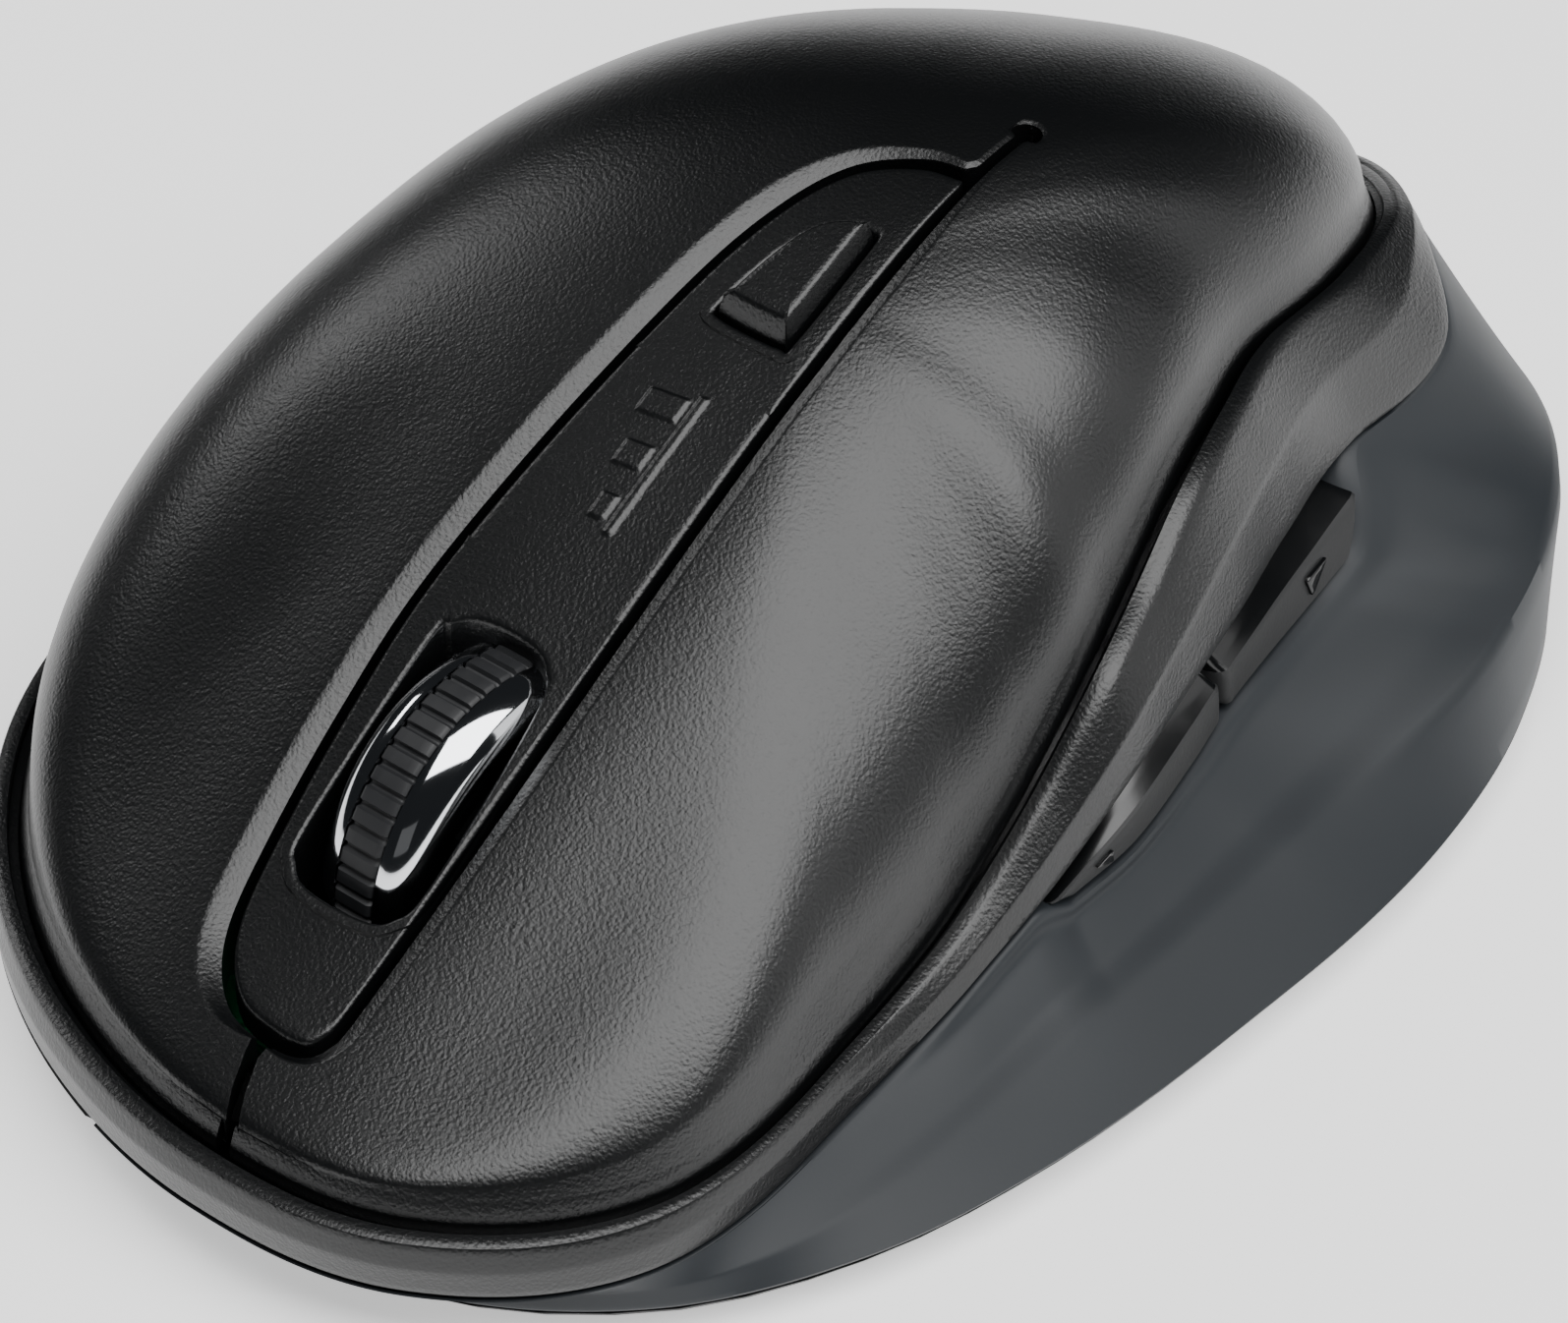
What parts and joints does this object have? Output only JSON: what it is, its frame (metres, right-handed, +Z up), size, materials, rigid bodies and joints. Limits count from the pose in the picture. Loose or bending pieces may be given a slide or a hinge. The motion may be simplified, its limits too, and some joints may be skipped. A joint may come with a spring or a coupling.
{
  "type": "computer mouse",
  "caption": "Contoured right-handed wireless mouse with sprung buttons, a ribbed scroll wheel, thumb keys, a battery door and a stowed USB receiver.",
  "frame": {"origin": "centre of the bounding box's bottom, on the table", "axes": "+Z up; -Y towards the buttons' front end; +X towards the thumb side"},
  "size_m": [0.0732, 0.1038, 0.0401],
  "materials": {
    "bottom_case": "moulded black ABS, satin",
    "thumb_grip": "soft-touch rubber over ABS",
    "trim_band": "fine leather-grain black ABS",
    "palm_cover": "fine leather-grain black ABS",
    "centre_bezel": "fine leather-grain black ABS",
    "circuit_board": "green solder mask on glass-fibre laminate",
    "left_switch": "moulded switch body",
    "right_switch": "moulded switch body",
    "wheel_switch": "moulded switch body",
    "dpi_board": "green solder mask on glass-fibre laminate",
    "dpi_switch": "moulded switch body",
    "side_key_carrier": "black nylon",
    "side_switch_front": "moulded switch body",
    "side_switch_rear": "moulded switch body",
    "scroll_encoder": "moulded switch body",
    "cradle_pin": "plain steel",
    "board_screw_left": "zinc-plated steel",
    "board_screw_right": "zinc-plated steel",
    "case_screw_1": "zinc-plated steel",
    "case_screw_2": "zinc-plated steel",
    "optical_sensor": "moulded switch body",
    "sensor_lens": "clear acrylic",
    "battery": "printed metal sleeve, no text",
    "battery_tray": "black nylon",
    "battery_contact_plus": "nickel-plated spring steel",
    "battery_contact_minus": "nickel-plated spring steel",
    "battery_spring": "nickel-plated spring steel",
    "power_switch": "moulded switch body",
    "glide_foot_front": "smooth PTFE",
    "glide_foot_left": "smooth PTFE",
    "glide_foot_right": "smooth PTFE",
    "left_button": "fine leather-grain black ABS",
    "right_button": "fine leather-grain black ABS",
    "wheel_cradle": "black nylon",
    "wheel_tyre": "ribbed black rubber",
    "wheel_hub": "black nylon",
    "wheel_rim_left": "bright chrome plate",
    "wheel_rim_right": "bright chrome plate",
    "dpi_button": "satin black ABS",
    "side_button_front": "satin black ABS",
    "side_button_rear": "satin black ABS",
    "battery_door": "satin black ABS",
    "receiver_cap": "satin black ABS",
    "receiver_plug": "nickel-plated steel shell",
    "power_slider": "satin black ABS"
  },
  "bodies": {
    "root": {"bottom_case": "bottom_case", "thumb_grip": "thumb_grip", "trim_band": "trim_band", "palm_cover": "palm_cover", "centre_bezel": "centre_bezel", "circuit_board": "circuit_board", "left_switch": "left_switch", "right_switch": "right_switch", "wheel_switch": "wheel_switch", "dpi_board": "dpi_board", "dpi_switch": "dpi_switch", "side_key_carrier": "side_key_carrier", "side_switch_front": "side_switch_front", "side_switch_rear": "side_switch_rear", "scroll_encoder": "scroll_encoder", "cradle_pin": "cradle_pin", "board_screw_left": "board_screw_left", "board_screw_right": "board_screw_right", "case_screw_1": "case_screw_1", "case_screw_2": "case_screw_2", "optical_sensor": "optical_sensor", "sensor_lens": "sensor_lens", "battery": "battery", "battery_tray": "battery_tray", "battery_contact_plus": "battery_contact_plus", "battery_contact_minus": "battery_contact_minus", "battery_spring": "battery_spring", "power_switch": "power_switch", "glide_foot_front": "glide_foot_front", "glide_foot_left": "glide_foot_left", "glide_foot_right": "glide_foot_right"},
    "left_button": {"left_button": "left_button"},
    "right_button": {"right_button": "right_button"},
    "wheel_cradle": {"wheel_cradle": "wheel_cradle"},
    "scroll_wheel": {"wheel_tyre": "wheel_tyre", "wheel_hub": "wheel_hub", "wheel_rim_left": "wheel_rim_left", "wheel_rim_right": "wheel_rim_right"},
    "dpi_button": {"dpi_button": "dpi_button"},
    "side_button_front": {"side_button_front": "side_button_front"},
    "side_button_rear": {"side_button_rear": "side_button_rear"},
    "battery_door": {"battery_door": "battery_door"},
    "nano_receiver": {"receiver_cap": "receiver_cap", "receiver_plug": "receiver_plug"},
    "power_slider": {"power_slider": "power_slider"}
  },
  "joints": [
    {"name": "left_click", "type": "hinge", "parent": "root", "child": "left_button", "pos_m": [0.016, 0.012, 0.033], "axis": [1, 0, 0], "range_deg": [0, 1.1], "stiffness_Nm_per_rad": 2.4},
    {"name": "right_click", "type": "hinge", "parent": "root", "child": "right_button", "pos_m": [-0.012, 0.012, 0.033], "axis": [1, 0, 0], "range_deg": [0, 1.1], "stiffness_Nm_per_rad": 2.4},
    {"name": "wheel_press", "type": "hinge", "parent": "root", "child": "wheel_cradle", "pos_m": [0.0005, -0.011, 0.01], "axis": [1, 0, 0], "range_deg": [0, 1.6], "stiffness_Nm_per_rad": 1.5},
    {"name": "wheel_spin", "type": "hinge", "parent": "wheel_cradle", "child": "scroll_wheel", "pos_m": [0.0005, -0.0253, 0.013], "axis": [1, 0, 0], "continuous": true},
    {"name": "dpi_press", "type": "slide", "parent": "root", "child": "dpi_button", "axis": [0, 0, -1], "range_m": [0, 0.0005], "stiffness_N_per_m": 900},
    {"name": "side_front_press", "type": "slide", "parent": "root", "child": "side_button_front", "axis": [-1, 0, 0], "range_m": [0, 0.0006], "stiffness_N_per_m": 900},
    {"name": "side_rear_press", "type": "slide", "parent": "root", "child": "side_button_rear", "axis": [-0.9539, -0.3, 0], "range_m": [0, 0.0006], "stiffness_N_per_m": 900},
    {"name": "battery_door_hinge", "type": "hinge", "parent": "root", "child": "battery_door", "pos_m": [0.001, 0.0457, 0.0008], "axis": [1, 0, 0], "range_deg": [0, 70]},
    {"name": "receiver_slide", "type": "slide", "parent": "root", "child": "nano_receiver", "axis": [0, 0, -1], "range_m": [0, 0.018]},
    {"name": "power_slide", "type": "slide", "parent": "root", "child": "power_slider", "axis": [0, 1, 0], "range_m": [0, 0.0025]}
  ]
}
